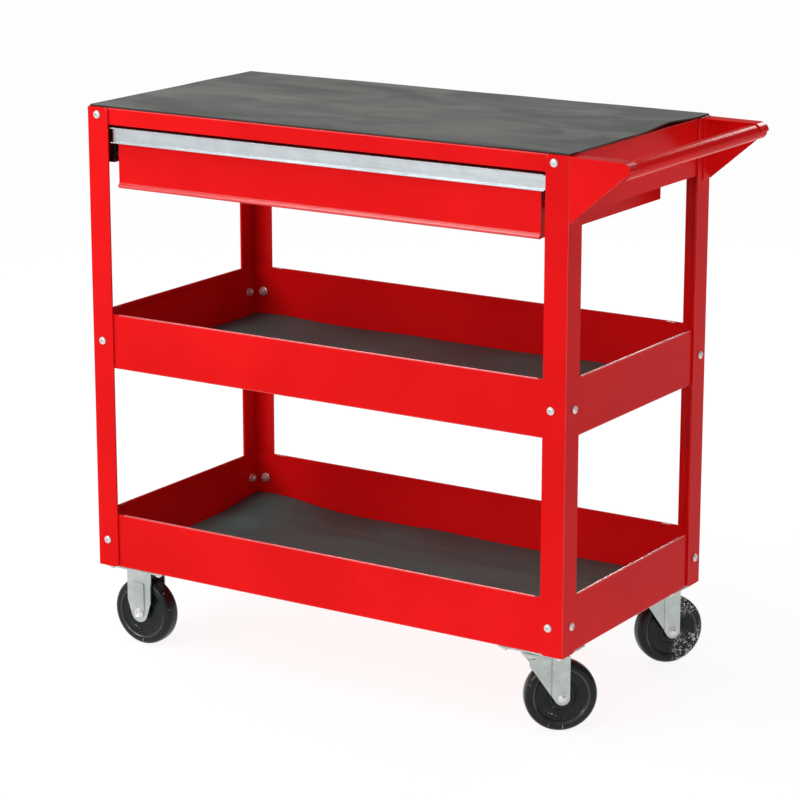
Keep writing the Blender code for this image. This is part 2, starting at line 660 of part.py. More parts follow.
def build_casters():
    wheel, axle, pin = wheel_mesh(), axle_mesh(), king_pin_mesh()
    face_y = turned("X", 90)
    for side, sign_y in (("front", -1), ("rear", 1)):
        centre_y = sign_y * (HALF_Y - CASTER_INSET[1])

        spot = (CASTER_INSET[0] - HALF_X, centre_y)
        name = f"rigid_bracket_{side}"
        part(name, rigid_bracket_mesh(name), ZINC_PLATE, at(*spot, BASE_Z))
        axle_place = at(*spot, BASE_Z - AXLE_DROP, face_y)
        part(f"rigid_axle_{side}", axle, STEEL, axle_place, smooth=True)
        part(f"rigid_wheel_{side}", wheel, TYRE, axle_place, smooth=True)

        spot = (HALF_X - CASTER_INSET[0], centre_y)
        name = f"swivel_plate_{side}"
        part(name, swivel_plate_mesh(name), ZINC_PLATE, at(*spot, BASE_Z))
        part(f"king_pin_{side}", pin, STEEL, at(*spot, BASE_Z), smooth=True)
        swivel = bpy.data.objects.new(f"swivel_{side}", None)
        PARTS.objects.link(swivel)
        swivel.matrix_world = at(*spot, BASE_Z, turned("Z", SWIVEL_REST[side]))
        bpy.context.view_layer.update()
        name = f"swivel_fork_{side}"
        fork = part(name, fork_mesh(name), ZINC_PLATE, None)
        axle_place = Matrix.Translation(Vector((TRAIL, 0, -AXLE_DROP)) * MM) @ face_y
        swivel_axle = part(f"swivel_axle_{side}", axle, STEEL, None, smooth=True)
        swivel_wheel = part(f"swivel_wheel_{side}", wheel, TYRE, None, smooth=True)
        swivel_axle.matrix_local = axle_place
        swivel_wheel.matrix_local = axle_place
        for obj in (fork, swivel_axle, swivel_wheel):
            obj.parent = swivel


# ---------------------------------------------------------------- build

CORNERS = (("front_left", -1, -1), ("front_right", 1, -1), ("rear_left", -1, 1),
           ("rear_right", 1, 1))

clear_scene()
PARTS = collection("rolling_tool_cart")
CUTTERS = collection("cutters", hidden=True)
PAINT = material("red_paint", RED, 0.28, 0.0)
ZINC_PLATE = material("zinc_plate", ZINC, 0.42, 0.85)
STEEL = material("bright_steel", ZINC, 0.25, 1.0)
BRIGHT = material("aluminium", ALUMINIUM, 0.35, 0.9)
SLIDE = material("slide_steel", SLIDE_STEEL, 0.4, 0.9)
MAT = material("rubber_mat", RUBBER, 0.75, 0.0)
TYRE = material("wheel_black", WHEEL_BLACK, 0.4, 0.0)
BOLT_HOLES = bolt_hole_cutter(bolt_places())

build_frame()
build_mats()
build_handle()
build_drawer()
build_slides()
build_casters()
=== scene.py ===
"""Looks of the rolling tool cart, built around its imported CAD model.

Lengths are millimetres until MM turns them into metres; the camera, the floor, the lights and
the materials are in metres from the start.  +X is the handle end, -Y the drawer side.  Every
piece's place comes from the CAD nodes' boxes and the record's joints.
"""

import json
import math

import bmesh
import bpy
from mathutils import Matrix, Vector, noise


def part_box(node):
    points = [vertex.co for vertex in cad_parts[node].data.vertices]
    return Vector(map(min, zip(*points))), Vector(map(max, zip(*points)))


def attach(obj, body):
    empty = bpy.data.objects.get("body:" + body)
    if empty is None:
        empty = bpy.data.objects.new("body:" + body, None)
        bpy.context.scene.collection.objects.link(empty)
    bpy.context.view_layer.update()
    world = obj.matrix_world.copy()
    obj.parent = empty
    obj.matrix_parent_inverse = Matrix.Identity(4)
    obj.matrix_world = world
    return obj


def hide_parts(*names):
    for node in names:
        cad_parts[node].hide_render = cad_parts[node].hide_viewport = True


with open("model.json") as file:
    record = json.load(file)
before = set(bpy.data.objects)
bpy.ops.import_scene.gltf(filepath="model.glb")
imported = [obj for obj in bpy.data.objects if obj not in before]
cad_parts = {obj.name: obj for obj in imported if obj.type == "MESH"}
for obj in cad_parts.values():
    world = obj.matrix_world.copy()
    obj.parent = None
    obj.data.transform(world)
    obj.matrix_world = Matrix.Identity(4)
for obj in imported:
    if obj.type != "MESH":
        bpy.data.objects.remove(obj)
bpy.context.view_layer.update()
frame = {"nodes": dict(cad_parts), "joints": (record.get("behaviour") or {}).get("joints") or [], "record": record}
NODES = frame["nodes"]
JOINTS = {joint["name"]: joint for joint in frame["joints"]}
MM = 0.001
GAP = 0.3                      # between pieces that touch

# The photograph's viewpoint: degrees, metres, and millimetres for the lens and its sensor
CAMERA_AZIMUTH = 32.6
CAMERA_ELEVATION = 14.5
CAMERA_DISTANCE = 4.39
CAMERA_TARGET = Vector((-0.046, 0.0, 0.398))
CAMERA_LENS = 130.8
SENSOR = 36.0

# Casters
AXLE_DROP = 76.0               # from the underside of the bottom tray to the axle
PLATE_SIZE = (108.0, 74.0)
PLATE_THICKNESS = 2.5
PLATE_SCREWS = (44.0, 26.0)    # half the spacing of the four mounting screws
LEG_INSIDE = 17.0              # from the caster's middle plane to a leg's inner face
LEG_SHEET = 2.5
TRAIL = 28.0                   # from the king pin's axis to the axle's
RACE_RADIUS = 31.0
PIN_RADIUS = 6.0
AXLE_RADIUS = 5.0
BORE_CLEARANCE = 0.4
WHEEL_RADIUS = 53.0
WHEEL_HALF = 14.0              # half the width of the tread
HUB_HALF = 16.0                # half the width of the hub


# ---------------------------------------------------------------- materials

def new_material(name):
    made = bpy.data.materials.new(name)
    made.use_nodes = True
    tree = made.node_tree
    return made, tree, tree.nodes["Principled BSDF"]


def node(tree, kind, **inputs):
    made = tree.nodes.new(kind)
    for socket, value in inputs.items():
        made.inputs[socket].default_value = value
    return made


def coordinates(tree, scale):
    place = tree.nodes.new("ShaderNodeTexCoord")
    mapping = tree.nodes.new("ShaderNodeMapping")
    mapping.inputs["Scale"].default_value = scale
    tree.links.new(place.outputs["Object"], mapping.inputs["Vector"])
    return mapping.outputs["Vector"]


def noise_value(tree, scale, detail=2.0, roughness=0.5, stretch=(1.0, 1.0, 1.0), distortion=0.0):
    made = node(tree, "ShaderNodeTexNoise", Scale=scale, Detail=detail, Roughness=roughness,
                Distortion=distortion)
    tree.links.new(coordinates(tree, stretch), made.inputs["Vector"])
    return made.outputs["Fac"]


def remapped(tree, value, low, high, to_low=0.0, to_high=1.0):
    made = tree.nodes.new("ShaderNodeMapRange")
    made.interpolation_type = "SMOOTHSTEP"
    for socket, number in zip(("From Min", "From Max", "To Min", "To Max"),
                              (low, high, to_low, to_high)):
        made.inputs[socket].default_value = number
    tree.links.new(value, made.inputs["Value"])
    return made.outputs["Result"]


def computed(tree, operation, first, second):
    made = tree.nodes.new("ShaderNodeMath")
    made.operation = operation
    tree.links.new(first, made.inputs[0])
    tree.links.new(second, made.inputs[1])
    return made.outputs["Value"]


def split_axes(tree, vector):
    made = tree.nodes.new("ShaderNodeSeparateXYZ")
    tree.links.new(vector, made.inputs["Vector"])
    return made.outputs


def mixed_colour(tree, factor, first, second):
    made = tree.nodes.new("ShaderNodeMix")
    made.data_type = "RGBA"
    for socket, value in (("A", first), ("B", second)):
        target = next(s for s in made.inputs if s.name == socket and s.type == "RGBA")
        if isinstance(value, tuple):
            target.default_value = (*value, 1.0)
        else:
            tree.links.new(value, target)
    tree.links.new(factor, made.inputs[0])
    return next(s for s in made.outputs if s.type == "RGBA")


def bump(tree, shader, height, strength, distance):
    made = node(tree, "ShaderNodeBump", Strength=strength, Distance=distance)
    tree.links.new(height, made.inputs["Height"])
    tree.links.new(made.outputs["Normal"], shader.inputs["Normal"])


def normal(tree):
    return tree.nodes.new("ShaderNodeNewGeometry").outputs["Normal"]


# The largest component of a normal, on a fold and on a flat face
FOLD_NORMAL, FLAT_NORMAL = 0.90, 0.985


def off_axis(tree):
    """1 on rounded folds, whose normals lie between the main axes; 0 on flat faces."""
    positive = tree.nodes.new("ShaderNodeVectorMath")
    positive.operation = "ABSOLUTE"
    tree.links.new(normal(tree), positive.inputs[0])
    split = split_axes(tree, positive.outputs["Vector"])
    largest = split["X"]
    for axis in ("Y", "Z"):
        largest = computed(tree, "MAXIMUM", largest, split[axis])
    return remapped(tree, largest, FOLD_NORMAL, FLAT_NORMAL, 1.0, 0.0)


RED_SHADES = ((0.62, 0.0045, 0.0055), (0.73, 0.0065, 0.0075))


def red_paint(name, gloss, roughness=(0.2, 0.28), coat_ior=None):
    """Powder coat: slow shade changes, faint orange peel; gloss is for flat faces and folds."""
    made, tree, shader = new_material(name)
    cloud = noise_value(tree, 3.5, 3.0)
    tint = mixed_colour(tree, remapped(tree, cloud, 0.3, 0.7), *RED_SHADES)
    tree.links.new(tint, shader.inputs["Base Color"])
    smear = noise_value(tree, 7.0, 2.0, 0.5)
    tree.links.new(remapped(tree, smear, 0.3, 0.7, *roughness), shader.inputs["Roughness"])
    tree.links.new(remapped(tree, off_axis(tree), 0.0, 1.0, *gloss),
                   shader.inputs["Specular IOR Level"])
    if coat_ior is not None:
        shader.inputs["Coat Weight"].default_value = 1.0
        shader.inputs["Coat IOR"].default_value = coat_ior
        shader.inputs["Coat Roughness"].default_value = 0.15
    bump(tree, shader, noise_value(tree, 380.0, 2.0), 0.035, 0.0004)
    return made


# Near-black for the mat's faces that don't point up: partly the cut rubber's own black, partly painted shade along
# the mat's edge
EDGE_BLACK_AND_SHADE = (0.010, 0.011, 0.010)


def rubber(name, dark, light, dust, dusty):
    """Sheet rubber with handling marks and settled dust; faces that don't point up, the cut edges and the
    underside, are painted near-black, partly the rubber's own black edge and partly painted shade along the mat's
    edge.
    """
    made, tree, shader = new_material(name)
    cloud = noise_value(tree, 4.0, 5.0, 0.62, (1.0, 1.8, 1.0), 0.8)
    streak = noise_value(tree, 7.0, 6.0, 0.7, (0.5, 2.2, 1.0), 0.5)
    base = mixed_colour(tree, remapped(tree, cloud, 0.35, 0.68), dark, light)
    film = mixed_colour(tree, remapped(tree, streak, 0.5, 0.75, 0.0, dusty), base, dust)
    speck = noise_value(tree, 130.0, 2.0, 0.5)
    top = mixed_colour(tree, remapped(tree, speck, 0.735, 0.76, 0.0, 0.5), film, dust)
    # Faces that point sideways or down are painted near-black: partly the cut rubber's black, partly painted shade
    # along the mat's edge
    edge_and_shade_mask = remapped(tree, split_axes(tree, normal(tree))["Z"], 0.35, 0.85, 1.0, 0.0)
    tree.links.new(mixed_colour(tree, edge_and_shade_mask, top, EDGE_BLACK_AND_SHADE), shader.inputs["Base Color"])
    tree.links.new(remapped(tree, cloud, 0.3, 0.7, 0.42, 0.6), shader.inputs["Roughness"])
    bump(tree, shader, noise_value(tree, 900.0, 3.0, 0.6), 0.2, 0.0004)
    return made


def metal(name, dark, light, roughness, stretch=(1.0, 1.0, 1.0), scale=60.0, grain=0.1,
          metallic=1.0):
    """Plated or drawn metal; stretch lengthens its grain along an axis."""
    made, tree, shader = new_material(name)
    shader.inputs["Metallic"].default_value = metallic
    cloud = noise_value(tree, scale * 0.4, 4.0, 0.6)
    tree.links.new(mixed_colour(tree, remapped(tree, cloud, 0.3, 0.7), dark, light),
                   shader.inputs["Base Color"])
    lines = noise_value(tree, scale * 6.0, 3.0, 0.6, stretch)
    tree.links.new(remapped(tree, lines, 0.3, 0.7, *roughness), shader.inputs["Roughness"])
    bump(tree, shader, lines, grain, 0.0003)
    return made


WHEEL_SHADES = ((0.004, 0.005, 0.0055), (0.008, 0.0095, 0.010))
SCRAPED = (0.5, 0.5, 0.49)
# The radii, in metres, over which a wheel turns glossy and then dull again
RING_INNER, RING_OUTER = (0.0385, 0.0395), (0.0412, 0.0422)
WHEEL_GLOSS, RING_GLOSS = 0.24, 0.7


def wheel_black(name, scrapes, scuffed_side=(-1.0, -0.9)):
    """Moulded black wheel with pale scrapes, only past scuffed_side along its own X."""
    made, tree, shader = new_material(name)
    cloud = noise_value(tree, 30.0, 4.0, 0.6)
    base = mixed_colour(tree, remapped(tree, cloud, 0.3, 0.7), *WHEEL_SHADES)
    scrape = noise_value(tree, 210.0, 3.0, 0.55, distortion=1.2)
    where = noise_value(tree, 16.0, 1.0, 0.5)
    along_x = split_axes(tree, coordinates(tree, (1.0, 1.0, 1.0)))["X"]
    side = remapped(tree, along_x, *scuffed_side)
    patch = computed(tree, "MULTIPLY", remapped(tree, where, 0.38, 0.58), side)
    mask = computed(tree, "MULTIPLY", remapped(tree, scrape, *scrapes), patch)
    tree.links.new(mixed_colour(tree, mask, base, SCRAPED), shader.inputs["Base Color"])
    tree.links.new(remapped(tree, cloud, 0.3, 0.7, 0.18, 0.3), shader.inputs["Roughness"])
    radius = tree.nodes.new("ShaderNodeVectorMath")
    radius.operation = "LENGTH"
    tree.links.new(coordinates(tree, (1.0, 1.0, 0.0)), radius.inputs[0])
    ring = computed(tree, "MULTIPLY", remapped(tree, radius.outputs["Value"], *RING_INNER),
                    remapped(tree, radius.outputs["Value"], *RING_OUTER, 1.0, 0.0))
    tree.links.new(remapped(tree, ring, 0.0, 1.0, WHEEL_GLOSS, RING_GLOSS),
                   shader.inputs["Specular IOR Level"])
    bump(tree, shader, noise_value(tree, 420.0, 2.0), 0.06, 0.0003)
    return made


PAINT = red_paint("red_paint_look", (0.04, 0.8))
BAR_PAINT = red_paint("red_bar_look", (0.03, 0.03), (0.12, 0.16))
BRACKET_PAINT = red_paint("red_bracket_look", (0.04, 0.2))
LIP_PAINT = red_paint("red_lip_look", (1.0, 1.0), (0.16, 0.22))
HEM_PAINT = red_paint("red_hem_look", (1.0, 1.0), (0.16, 0.22), 2.3)
TOP_RUBBER = rubber("top_mat_look", (0.072, 0.077, 0.069), (0.158, 0.164, 0.150),
                    (0.23, 0.235, 0.22), 0.6)
TRAY_RUBBER = rubber("tray_mat_look", (0.034, 0.078, 0.074), (0.056, 0.122, 0.115),
                     (0.11, 0.18, 0.17), 0.4)
ZINC = metal("zinc_look", (0.40, 0.44, 0.42), (0.56, 0.60, 0.57), (0.26, 0.42))
STEEL = metal("steel_look", (0.60, 0.61, 0.60), (0.78, 0.78, 0.76), (0.2, 0.34), metallic=0.6)
ALUMINIUM = metal("aluminium_look", (0.47, 0.505, 0.525), (0.53, 0.565, 0.585), (0.28, 0.4),
                  (0.02, 1.0, 1.0), 120.0, 0.06)
SLIDE_STEEL = metal("slide_look", (0.07, 0.07, 0.075), (0.12, 0.12, 0.125), (0.3, 0.42))
WHEEL = wheel_black("wheel_look", (0.67, 0.71))
WORN_WHEEL = wheel_black("wheel_worn_look", (0.53, 0.58), (-0.004, 0.018))

LOOKS = {"red_paint": PAINT, "rubber_mat": TRAY_RUBBER, "aluminium": ALUMINIUM,
         "zinc_plate": ZINC, "bright_steel": STEEL, "slide_steel": SLIDE_STEEL,
         "wheel_polymer": WHEEL}


# ---------------------------------------------------------------- mesh helpers

def arc(centre, radius, start, end, steps):
    """Points of an arc, in degrees."""
    angles = [math.radians(start + (end - start) * i / steps) for i in range(steps + 1)]
    return [(centre[0] + radius * math.cos(a), centre[1] + radius * math.sin(a)) for a in angles]


def turned(axis, degrees):
    return Matrix.Rotation(math.radians(degrees), 4, axis)


def moved(x, y, z):
    return Matrix.Translation(Vector((x, y, z)) * MM)


def mesh_from(name, bm):
    """The finished mesh, with its normals made to point outward."""
    bmesh.ops.recalc_face_normals(bm, faces=bm.faces)
    mesh = bpy.data.meshes.new(name)
    bm.to_mesh(mesh)
    bm.free()
    return mesh


def lathe(name, profile, steps):
    """A (radius, height) profile turned about Z; it ends on the axis, or closes into a ring."""
    bm = bmesh.new()
    rings = []
    for radius, height in profile:
        if radius < 1e-6:
            rings.append([bm.verts.new((0, 0, height * MM))] * steps)
        else:
            turn = [2 * math.pi * i / steps for i in range(steps)]
            rings.append([bm.verts.new((radius * math.cos(a) * MM, radius * math.sin(a) * MM,
                                        height * MM)) for a in turn])
    pairs = list(zip(rings, rings[1:]))
    if profile[0][0] > 0:
        pairs.append((rings[-1], rings[0]))
    for upper, lower in pairs:
        for i in range(steps):
            j = (i + 1) % steps
            corners = []
            for vert in (upper[i], upper[j], lower[j], lower[i]):
                if vert not in corners:
                    corners.append(vert)
            if len(corners) > 2:
                bm.faces.new(corners)
    return mesh_from(name, bm)


def prism(name, outline, low, high, turn=None):
    """A flat outline in XY made solid between two heights; turn is applied after."""
    bm = bmesh.new()
    floor = [bm.verts.new((x * MM, y * MM, low * MM)) for x, y in outline]
    roof = [bm.verts.new((x * MM, y * MM, high * MM)) for x, y in outline]
    bm.faces.new(list(reversed(floor)))
    bm.faces.new(roof)
    for i in range(len(outline)):
        j = (i + 1) % len(outline)
        bm.faces.new((floor[i], floor[j], roof[j], roof[i]))
    if turn is not None:
        bmesh.ops.transform(bm, matrix=turn, verts=bm.verts)
    return mesh_from(name, bm)


def placed(mesh, matrix):
    mesh.transform(matrix)
    return mesh


def gathered(name, meshes):
    """Several closed shells in one mesh."""
    bm = bmesh.new()
    for mesh in meshes:
        bm.from_mesh(mesh)
    joined = bpy.data.meshes.new(name)
    bm.to_mesh(joined)
    bm.free()
    return joined


def evaluated(obj):
    graph = bpy.context.evaluated_depsgraph_get()
    return bpy.data.meshes.new_from_object(obj.evaluated_get(graph))


def combined(name, first, others, operation):
    """First mesh united with, cut by or limited to each of the others."""
    objects = []
    for index, mesh in enumerate([first, *others]):
        obj = bpy.data.objects.new(f"{name}_work_{index}", mesh)
        bpy.context.scene.collection.objects.link(obj)
        objects.append(obj)
    for tool in objects[1:]:
        modifier = objects[0].modifiers.new("Boolean", "BOOLEAN")
        modifier.operation = operation
        modifier.object = tool
    bpy.context.view_layer.update()
    result = evaluated(objects[0])
    for obj in objects:
        bpy.data.objects.remove(obj, do_unlink=True)
    result.name = name
    return result


WELD_DISTANCE = 0.01
BEVEL_ANGLE = 30.0


def soften(obj, width):
    """Round an object's edges with modifiers; a CAD node's own mesh stays as it is."""
    weld = obj.modifiers.new("Weld", "WELD")
    weld.merge_threshold = WELD_DISTANCE * MM
    bevel = obj.modifiers.new("Bevel", "BEVEL")
    bevel.width = width * MM
    bevel.segments = 2
    bevel.limit_method = "ANGLE"
    bevel.angle_limit = math.radians(BEVEL_ANGLE)
    bevel.harden_normals = True
    bevel.use_clamp_overlap = True


def piece(name, mesh, body, slot, place=None, look=None, stands_for=(), round_by=0.0, sharp=40.0):
    """One named piece: its mesh, place, finish, body and the CAD nodes it stands for."""
    obj = bpy.data.objects.new(name, mesh)
    bpy.context.scene.collection.objects.link(obj)
    if place is not None:
        obj.matrix_world = place
    mesh.materials.clear()
    mesh.materials.append(look or LOOKS[slot])
    mesh.shade_smooth()
    mesh.set_sharp_from_angle(angle=math.radians(sharp))
    if round_by:
        soften(obj, round_by)
    bpy.context.view_layer.update()
    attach(obj, body)
    if stands_for:
        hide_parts(*stands_for)
    return obj


def middle(name):
    low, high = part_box(name)
    return (low + high) / 2


# ---------------------------------------------------------------- CAD nodes that stay

# CAD nodes shown as they are, by the start of their name, and how far their edges are rounded
KEPT = {"post_": 0.6, "top_panel": 0.5, "middle_tray": 0.5, "bottom_tray": 0.5, "drawer_box": 0.4,
        "drawer_pull": 0.3, "slide_": 0.3, "swivel_plate": 0.4, "king_pin": 0.3}


def dress_cad_nodes():
    """Give every CAD node its finish, whether it stays or a piece replaces it later."""
    for part in frame["record"]["subparts"]:
        obj = NODES[part["node"]]
        obj.data.materials.clear()
        obj.data.materials.append(LOOKS[part["material_slot"]])
        for polygon in obj.data.polygons:
            polygon.material_index = 0
        for prefix, width in KEPT.items():
            if part["node"].startswith(prefix):
                soften(obj, width)


HEM_THICKNESS = 3.2
HEM_GAP = 7.0                  # from a post's edge to the bead's end
HEM_PROUD = 0.05               # past the wall's outer face


def build_hems():
    """The rolled upper edge of each tray wall, which stops short of the posts."""
    half = HEM_THICKNESS / 2
    section = arc((half, -half), half, 200, -20, 12)
    section += [(HEM_THICKNESS - 0.5, -HEM_THICKNESS), (0.5, -HEM_THICKNESS)]
    post_low, post_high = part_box("post_front_right")
    flange = (post_high.x - post_low.x) / MM
    for tray in ("middle_tray", "bottom_tray"):
        low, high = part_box(tray)
        centre = middle(tray)
        reach = {"x": (high.x - low.x) / 2 / MM + HEM_PROUD,
                 "y": (high.y - low.y) / 2 / MM + HEM_PROUD}
        beads = []
        for across, along, spin in (("y", "x", 0), ("x", "y", 90),
                                    ("y", "x", 180), ("x", "y", 270)):
            length = reach[along] - flange - HEM_GAP
            bead = prism("bead", section, -length, length, turned("X", 90))
            beads.append(placed(bead, turned("Z", spin + 90) @ moved(-reach[across], 0, 0)))
        place = Matrix.Translation((centre.x, centre.y, high.z + GAP * MM))
        piece(f"{tray}_hem", gathered("hem", beads), "cart", "red_paint", place, look=HEM_PAINT)


# ---------------------------------------------------------------- frame screws

HEAD_RADIUS = 6.0
HEAD_HEIGHT = 3.3
RECESS_HALF = (2.9, 0.65)
NUT_FACE = -5.1                # where the nut meets the sheet
# How far each level's screws are turned, in degrees, so that their recesses differ
LEVEL_SPIN = {"bottom": 0, "middle": 67, "top": 134}
NAME_SPIN = 37


def screw_and_nut():
    """Pan-head cross-recess screw and its flanged nut; the post's outer face is Z 0."""
    head = HEAD_RADIUS
    top = GAP + HEAD_HEIGHT
    dome = [(0.0, top), (2.4, top - 0.12), (4.0, top - 0.5), (5.2, top - 1.1), (5.8, top - 1.8),
            (head, top - 2.5), (head, GAP + 0.2), (head - 0.3, GAP)]
    shank = [(3.0, GAP), (3.0, -12.2), (2.5, -13.1), (0.0, -13.3)]
    long, wide = RECESS_HALF
    arm = [(-long, -wide), (long, -wide), (long, wide), (-long, wide)]
    arms = [prism("recess", arm, top - 1.5, top + 1.0, turned("Z", angle))
            for angle in (20.0, 110.0)]
    body = combined("screw", lathe("screw", dome + shank, 48), arms, "DIFFERENCE")
    face = NUT_FACE
    flange = lathe("flange", [(3.1, face), (7.4, face), (7.4, face - 0.9), (6.0, face - 1.7),
                              (3.1, face - 1.7)], 36)
    hexagon = prism("nut", arc((0, 0), 6.3, 0, 300, 5), face - 5.6, face - 1.3)
    chamfer = lathe("chamfer", [(0.0, face), (7.0, face), (7.0, face - 4.6), (5.0, face - 5.6),
                                (0.0, face - 5.6)], 36)
    nut = combined("nut", hexagon, [chamfer], "INTERSECT")
    return gathered("frame_screw", [body, flange, nut])


def build_screws():
    mesh = screw_and_nut()
    outward = {"front": turned("X", 90), "rear": turned("X", -90),
               "left": turned("Y", -90), "right": turned("Y", 90)}
    for name in NODES:
        if not name.startswith("bolt_"):
            continue
        _, row, side, level, face = name.split("_")
        low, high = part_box(name)
        spot = middle(name)
        proud = (GAP + HEAD_HEIGHT) * MM
        if face == "long":
            spot.y = low.y + proud if row == "front" else high.y - proud
            turn = outward[row]
        else:
            spot.x = low.x + proud if side == "left" else high.x - proud
            turn = outward[side]
        spin = turned("Z", (NAME_SPIN * len(name) + LEVEL_SPIN[level]) % 360)
        piece(name.replace("bolt", "screw"), mesh.copy(), "cart", "bright_steel",
              Matrix.Translation(spot) @ turn @ spin, stands_for=(name,))


# ---------------------------------------------------------------- mats

SHEET_CELLS = (132, 68)
EDGE_WANDER = 0.6


def mat_sheet(name, cad_node, lift, look):
    """A loose sheet of rubber; lift(u, v) is how far each spot rides up, in millimetres."""
    low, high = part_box(cad_node)
    size = high - low
    across, along = SHEET_CELLS
    bm = bmesh.new()
    layers = []
    for level in (0, 1):
        grid = []
        for i in range(across + 1):
            row = []
            for j in range(along + 1):
                u, v = i / across, j / along
                rise = lift(u, v) * MM
                wander_x = noise.noise(Vector((v * 5.0, 3.7, 1.0))) * EDGE_WANDER * MM
                wander_y = noise.noise(Vector((u * 8.0, 9.1, 2.0))) * EDGE_WANDER * MM
                x = low.x + size.x * u + wander_x * (1 if u > 0.5 else -1)
                y = low.y + size.y * v + wander_y * (1 if v > 0.5 else -1)
                row.append(bm.verts.new((x, y, low.z + size.z * level + rise)))
            grid.append(row)
        layers.append(grid)
    under, over = layers
    for i in range(across):
        for j in range(along):
            bm.faces.new((over[i][j], over[i + 1][j], over[i + 1][j + 1], over[i][j + 1]))
            bm.faces.new((under[i][j + 1], under[i + 1][j + 1], under[i + 1][j], under[i][j]))
    rim = [(i, 0) for i in range(across)] + [(across, j) for j in range(along)]
    rim += [(i, along) for i in range(across, 0, -1)] + [(0, j) for j in range(along, 0, -1)]
    for (i, j), (k, m) in zip(rim, rim[1:] + rim[:1]):
        bm.faces.new((under[i][j], under[k][m], over[k][m], over[i][j]))
    mesh = mesh_from(name, bm)
    obj = piece(name, mesh, "cart", "rubber_mat", look=look, stands_for=(cad_node,),
                round_by=0.6, sharp=50.0)
    return obj, (size.x, size.y)


def hump(u, v, at_u, at_v, width_u, width_v, height):
    """A smooth bulge; u and v run from 0 to 1, left to right and front to back."""
    return height * math.exp(-((u - at_u) / width_u) ** 2 - ((v - at_v) / width_v) ** 2)


def ripple(u, v, seed, height):
    """Never below zero, so that the sheet stays on what it lies on."""
    value = noise.noise(Vector((u * 6.0, v * 3.5, seed)))
    return height * max(0.0, value + 0.1)


def top_lift(u, v):
    return (hump(u, v, 1.02, 0.70, 0.085, 0.13, 5.2) + hump(u, v, 1.0, 0.36, 0.04, 0.10, 1.0)
            + ripple(u, v, 1.0, 0.8))


def middle_lift(u, v):
    return (hump(u, v, 0.06, 1.0, 0.07, 0.10, 2.4) + hump(u, v, 0.8, 1.0, 0.10, 0.07, 2.0)
            + ripple(u, v, 5.0, 1.6))


def bottom_lift(u, v):
    return (hump(u, v, 0.03, 1.02, 0.125, 0.20, 13.0) + hump(u, v, 0.45, 1.0, 0.08, 0.10, 2.0)
            + ripple(u, v, 9.0, 2.2))


def build_mats():
    layout = (("top_rubber_mat", "top_mat", top_lift, TOP_RUBBER, "top_panel"),
              ("middle_rubber_mat", "middle_mat", middle_lift, TRAY_RUBBER, "middle_tray"),
              ("bottom_rubber_mat", "bottom_mat", bottom_lift, TRAY_RUBBER, "bottom_tray"))
    for name, cad_node, lift, look, under in layout:
        obj, flat = mat_sheet(name, cad_node, lift, look)


# ---------------------------------------------------------------- push handle

BAR_RADIUS = 11.5
BAR_DROP = 15.0                # from the post's top to the bar's centre
BAR_SHEET = 1.6
BAR_SLOT = (215.0, 292.0)      # the opening along the bar's lower side, in degrees
BRACKET_SHEET = 1.5
BRACKET_DROP = 1.0             # from the post's top to the bracket's


def build_handle():
    """Two brackets, bent round the bar's ends, and the rolled bar between them."""
    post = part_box("post_front_right")[1]
    top = post.z / MM
    face = post.x / MM
    nose_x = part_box("handle_bar")[1].x / MM - BAR_RADIUS
    reach = nose_x - face
    radius = BAR_RADIUS + GAP + BRACKET_SHEET
    upright = turned("X", 90)
    for side, sign in (("front", -1), ("rear", 1)):
        name = f"handle_bracket_{side}"
        low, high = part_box(name)
        foot = (high.z - low.z) / MM
        flange = (high.y - low.y) / MM
        outside = (low.y if sign < 0 else high.y) / MM
        outline = [(GAP, -foot), (GAP, -BRACKET_DROP)]
        outline += arc((reach, -BAR_DROP), radius, 90, 5, 24)
        inner = GAP + BRACKET_SHEET
        hollow = [(inner, -foot - 20), (inner, -BRACKET_DROP - BRACKET_SHEET)]
        hollow += arc((reach, -BAR_DROP), BAR_RADIUS + GAP, 90, 5, 24)
        hollow.append((reach + radius + 8, -BAR_DROP - 8))
        body = prism(name, outline, -flange, 0.0, upright)
        cut = prism(name, hollow, -flange - BRACKET_SHEET, -BRACKET_SHEET, upright)
        mesh = combined(name, body, [cut], "DIFFERENCE")
        if sign > 0:
            mesh.transform(Matrix.Diagonal((1.0, -1.0, 1.0, 1.0)))
            mesh.flip_normals()
        piece(f"push_{name}", mesh, "cart", "red_paint", moved(face, outside, top),
              look=BRACKET_PAINT, stands_for=(name,), round_by=0.7, sharp=30.0)
    low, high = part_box("handle_bar")
    length = (high.y - low.y) / MM
    start, end = BAR_SLOT
    outline = arc((0, 0), BAR_RADIUS, end - 360, start, 64)
    outline += arc((0, 0), BAR_RADIUS - BAR_SHEET, start, end - 360, 64)
    mesh = prism("bar", outline, -length / 2, length / 2, upright)
    centre_y = (low.y + high.y) / 2 / MM
    piece("push_bar", mesh, "cart", "red_paint", moved(nose_x, centre_y, top - BAR_DROP),
          look=BAR_PAINT, stands_for=("handle_bar",), round_by=0.6, sharp=30.0)


# ---------------------------------------------------------------- drawer

LIP_RADIUS = 3.3
FRONT_SHEET = 1.5
# Takes an outline's X to Y and its Y to Z, with the prism's length along X
ALONG_X = Matrix(((0, 0, 1, 0), (1, 0, 0, 0), (0, 1, 0, 0), (0, 0, 0, 1)))


